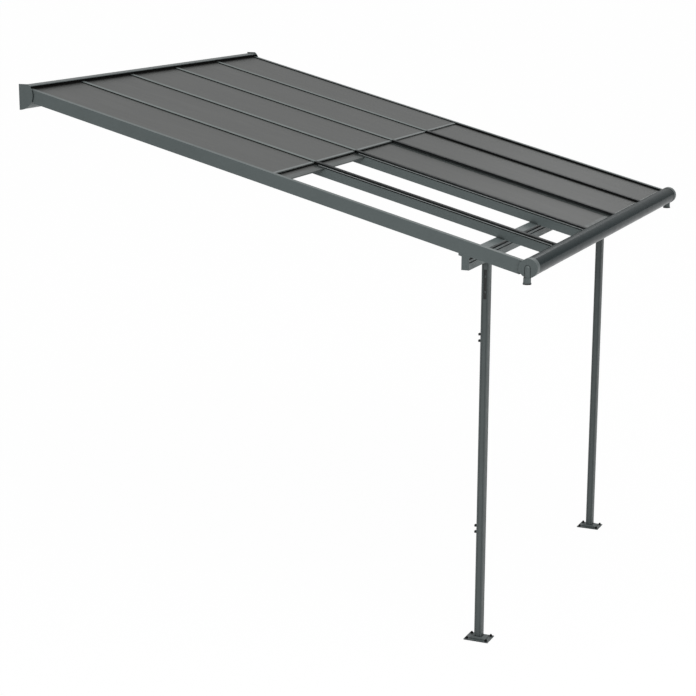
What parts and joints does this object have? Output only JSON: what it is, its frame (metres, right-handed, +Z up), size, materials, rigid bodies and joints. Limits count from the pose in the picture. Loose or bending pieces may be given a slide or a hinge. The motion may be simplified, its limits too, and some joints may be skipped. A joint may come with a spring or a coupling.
{
  "type": "patio cover",
  "caption": "Wall-mounted lean-to patio cover: metal frame on two posts, sheet roof with lower sheets that slide up under the fixed ones, round-fronted gutter.",
  "frame": {"origin": "on the back face of the wall rail, at the middle of its length", "axes": "+X along the wall, +Y into the wall, +Z up; the roof falls towards -Y"},
  "size_m": [3.0886, 3.2735, 3.202],
  "materials": {
    "frame_paint": "satin powder coat, blue-grey",
    "gutter_paint": "semi-gloss powder coat, dark grey",
    "edge_profile": "satin, light grey",
    "roof_sheet": "satin grey twin-wall sheet",
    "clip_plastic": "matt dark grey",
    "rubber": "matt black gasket rubber"
  },
  "bodies": {
    "frame": {"wall_rail": "frame_paint", "wall_rail_cap_left": "frame_paint", "wall_rail_cap_right": "frame_paint", "rail_seal": "rubber", "side_rafter_left": "frame_paint", "side_rafter_right": "frame_paint", "rafter_1": "frame_paint", "rafter_2": "frame_paint", "rafter_3": "frame_paint", "rafter_4": "frame_paint", "rafter_cap_1": "frame_paint", "rafter_cap_2": "frame_paint", "rafter_cap_3": "frame_paint", "rafter_cap_4": "frame_paint", "cap_gaskets": "rubber", "upper_sheet_1": "roof_sheet", "upper_sheet_2": "roof_sheet", "upper_sheet_3": "roof_sheet", "upper_sheet_4": "roof_sheet", "upper_sheet_5": "roof_sheet", "upper_sheet_profiles": "edge_profile", "lower_sheet_4": "roof_sheet", "lower_sheet_5": "roof_sheet", "lower_sheet_profiles": "edge_profile", "gutter": "gutter_paint", "gutter_cap_left": "frame_paint", "gutter_cap_right": "frame_paint", "beam": "frame_paint", "beam_cap_left": "frame_paint", "beam_cap_right": "frame_paint", "post_left": "frame_paint", "post_right": "frame_paint", "post_head_left": "frame_paint", "post_head_right": "frame_paint", "foot_plate_left": "frame_paint", "foot_plate_right": "frame_paint", "foot_cover_left": "frame_paint", "foot_cover_right": "frame_paint", "hose_clips": "clip_plastic"},
    "sliding_panel_1": {"sliding_sheet_1": "roof_sheet", "sliding_frame_1": "edge_profile"},
    "sliding_panel_2": {"sliding_sheet_2": "roof_sheet", "sliding_frame_2": "edge_profile"},
    "sliding_panel_3": {"sliding_sheet_3": "roof_sheet", "sliding_frame_3": "edge_profile"}
  },
  "joints": [
    {"name": "panel_1_slide", "type": "slide", "parent": "frame", "child": "sliding_panel_1", "axis": [0, 0.9677, 0.2521], "range_m": [-1.4756, 0]},
    {"name": "panel_2_slide", "type": "slide", "parent": "frame", "child": "sliding_panel_2", "axis": [0, 0.9677, 0.2521], "range_m": [-1.4756, 0]},
    {"name": "panel_3_slide", "type": "slide", "parent": "frame", "child": "sliding_panel_3", "axis": [0, 0.9677, 0.2521], "range_m": [0, 1.4756]}
  ]
}
